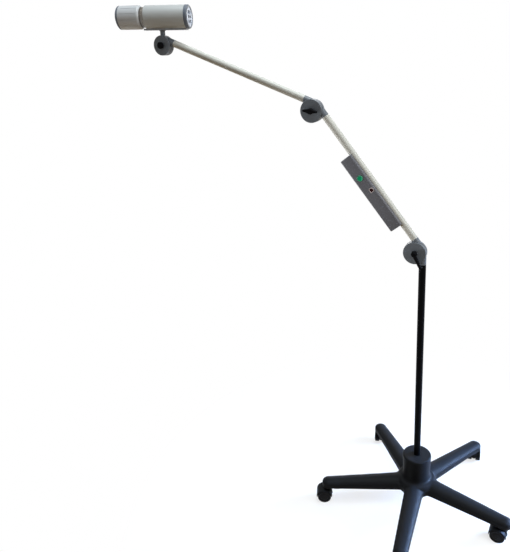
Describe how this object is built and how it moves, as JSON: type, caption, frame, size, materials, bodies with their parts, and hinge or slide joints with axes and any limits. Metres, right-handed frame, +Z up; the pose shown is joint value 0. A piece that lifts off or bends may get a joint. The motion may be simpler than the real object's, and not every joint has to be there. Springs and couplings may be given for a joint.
{
  "type": "examination lamp",
  "caption": "Mobile examination lamp on a five-legged castor base, with a mast, two jointed arms, a driver box on the lower arm and a focusing spot head.",
  "frame": {"origin": "on the floor under the mast's axis", "axes": "+Z up along the mast; the arms lie in the XZ plane and reach towards -X; joint axes along Y"},
  "size_m": [1.4125, 0.714, 1.8176],
  "materials": {
    "black_moulding": "satin",
    "wheel_black": "matte",
    "mast_black": "satin",
    "joint_grey": "satin",
    "arm_ivory": "satin",
    "box_grey": "satin",
    "head_grey": "satin",
    "collar_grey": "satin",
    "trim_grey": "satin",
    "steel": "satin",
    "iron": "matte",
    "white_plastic": "satin",
    "button_green": "gloss",
    "window_red": "gloss",
    "board_green": "satin",
    "sink_metal": "satin",
    "lamp_yellow": "gloss",
    "lens_glass": "polished"
  },
  "bodies": {
    "base": {"base_star": "black_moulding", "castor_stems": "steel", "ballast_weight": "iron", "hub_cover": "black_moulding", "pole_bush": "white_plastic"},
    "mast": {"pole_tube": "mast_black", "pole_plug": "steel", "pole_bolt": "steel", "pole_head": "joint_grey", "pole_screw": "steel"},
    "lower_arm": {"lower_arm_foot": "joint_grey", "lower_arm_tube": "arm_ivory", "lower_arm_crown": "joint_grey", "lower_arm_pivots": "steel", "lower_arm_washers": "black_moulding", "lower_arm_caps": "joint_grey", "driver_housing": "box_grey", "driver_back_cover": "box_grey", "driver_screws": "steel", "driver_board": "board_green", "indicator_window": "window_red", "mains_inlet": "black_moulding"},
    "lever": {"clamp_lever": "black_moulding"},
    "button": {"power_button": "button_green"},
    "upper_arm": {"upper_arm_foot": "joint_grey", "upper_arm_tube": "arm_ivory", "upper_arm_crown": "joint_grey", "head_pivot": "steel", "head_washer": "black_moulding", "head_joint_cap": "joint_grey"},
    "elbow_knob": {"wing_knob": "black_moulding"},
    "yoke": {"head_yoke": "joint_grey"},
    "head_knob": {"round_knob": "black_moulding"},
    "head": {"head_rail": "trim_grey", "lamp_body": "head_grey", "rear_ring": "trim_grey", "rear_grille": "white_plastic", "heat_sink": "sink_metal", "led_module": "lamp_yellow", "focus_neck": "trim_grey"},
    "focus_slide": {"lens_cell": "black_moulding", "lens": "lens_glass"},
    "collar": {"focus_collar": "collar_grey", "front_bezel": "trim_grey"},
    "castor_1": {"castor_hood_1": "black_moulding", "castor_axle_1": "steel"},
    "wheels_1": {"castor_wheels_1": "wheel_black"},
    "castor_2": {"castor_hood_2": "black_moulding", "castor_axle_2": "steel"},
    "wheels_2": {"castor_wheels_2": "wheel_black"},
    "castor_3": {"castor_hood_3": "black_moulding", "castor_axle_3": "steel"},
    "wheels_3": {"castor_wheels_3": "wheel_black"},
    "castor_4": {"castor_hood_4": "black_moulding", "castor_axle_4": "steel"},
    "wheels_4": {"castor_wheels_4": "wheel_black"},
    "castor_5": {"castor_hood_5": "black_moulding", "castor_axle_5": "steel"},
    "wheels_5": {"castor_wheels_5": "wheel_black"}
  },
  "joints": [
    {"name": "mast_turn", "type": "hinge", "parent": "base", "child": "mast", "pos_m": [0, 0, 0.08], "axis": [0, 0, 1], "continuous": true},
    {"name": "lower_tilt", "type": "hinge", "parent": "mast", "child": "lower_arm", "pos_m": [-0.025, 0, 1.002], "axis": [0, -1, 0], "range_deg": [-35, 55]},
    {"name": "lever_turn", "type": "hinge", "parent": "lower_arm", "child": "lever", "pos_m": [-0.025, 0, 1.002], "axis": [0, -1, 0], "range_deg": [-180, 180]},
    {"name": "button_press", "type": "slide", "parent": "lower_arm", "child": "button", "axis": [0, 1, 0], "range_m": [0, 0.002], "stiffness_N_per_m": 400, "springref_m": -0.001},
    {"name": "elbow_tilt", "type": "hinge", "parent": "lower_arm", "child": "upper_arm", "pos_m": [-0.36705, 0, 1.45509], "axis": [0, -1, 0], "range_deg": [-50, 95]},
    {"name": "elbow_knob_turn", "type": "hinge", "parent": "lower_arm", "child": "elbow_knob", "pos_m": [-0.36705, 0, 1.45509], "axis": [0, -1, 0], "range_deg": [-180, 180]},
    {"name": "head_tilt", "type": "hinge", "parent": "upper_arm", "child": "yoke", "pos_m": [-0.91471, 0, 1.68254], "axis": [0, -1, 0], "range_deg": [-18, 100]},
    {"name": "head_knob_turn", "type": "hinge", "parent": "upper_arm", "child": "head_knob", "pos_m": [-0.91471, 0, 1.68254], "axis": [0, -1, 0], "range_deg": [-180, 180]},
    {"name": "head_swivel", "type": "hinge", "parent": "yoke", "child": "head", "pos_m": [-0.91261, 0, 1.7325], "axis": [0.0419, 0, 0.9991], "range_deg": [-160, 160]},
    {"name": "focus_travel", "type": "slide", "parent": "head", "child": "focus_slide", "axis": [-0.9595, -0.279, 0.0402], "range_m": [-0.012, 0.008]},
    {"name": "collar_turn", "type": "hinge", "parent": "focus_slide", "child": "collar", "pos_m": [-1.01645, -0.03069, 1.77759], "axis": [-0.9595, -0.279, 0.0402], "range_deg": [-180, 120]},
    {"name": "castor_swivel_1", "type": "hinge", "parent": "base", "child": "castor_1", "pos_m": [0.32112, -0.08815, 0.058], "axis": [0, 0, 1], "continuous": true},
    {"name": "wheel_roll_1", "type": "hinge", "parent": "castor_1", "child": "wheels_1", "pos_m": [0.30319, -0.08658, 0.0255], "axis": [-0.0872, -0.9962, 0], "continuous": true},
    {"name": "castor_swivel_2", "type": "hinge", "parent": "base", "child": "castor_2", "pos_m": [0.18307, 0.27816, 0.058], "axis": [0, 0, 1], "continuous": true},
    {"name": "wheel_roll_2", "type": "hinge", "parent": "castor_2", "child": "wheels_2", "pos_m": [0.1815, 0.2961, 0.0255], "axis": [-0.9962, -0.0872, 0], "continuous": true},
    {"name": "castor_swivel_3", "type": "hinge", "parent": "base", "child": "castor_3", "pos_m": [-0.20798, 0.26006, 0.058], "axis": [0, 0, 1], "continuous": true},
    {"name": "wheel_roll_3", "type": "hinge", "parent": "castor_3", "child": "wheels_3", "pos_m": [-0.2111, 0.27779, 0.0255], "axis": [-0.9848, -0.1736, 0], "continuous": true},
    {"name": "castor_swivel_4", "type": "hinge", "parent": "base", "child": "castor_4", "pos_m": [-0.31161, -0.11743, 0.058], "axis": [0, 0, 1], "continuous": true},
    {"name": "wheel_roll_4", "type": "hinge", "parent": "castor_4", "child": "wheels_4", "pos_m": [-0.32852, -0.12359, 0.0255], "axis": [0.342, -0.9397, 0], "continuous": true},
    {"name": "castor_swivel_5", "type": "hinge", "parent": "base", "child": "castor_5", "pos_m": [0.0154, -0.33264, 0.058], "axis": [0, 0, 1], "continuous": true},
    {"name": "wheel_roll_5", "type": "hinge", "parent": "castor_5", "child": "wheels_5", "pos_m": [0.0244, -0.34823, 0.0255], "axis": [0.866, 0.5, 0], "continuous": true}
  ],
  "couplings": [
    {"joint": "focus_travel", "follows": "collar_turn", "m_per_rad": 0.0038197}
  ]
}
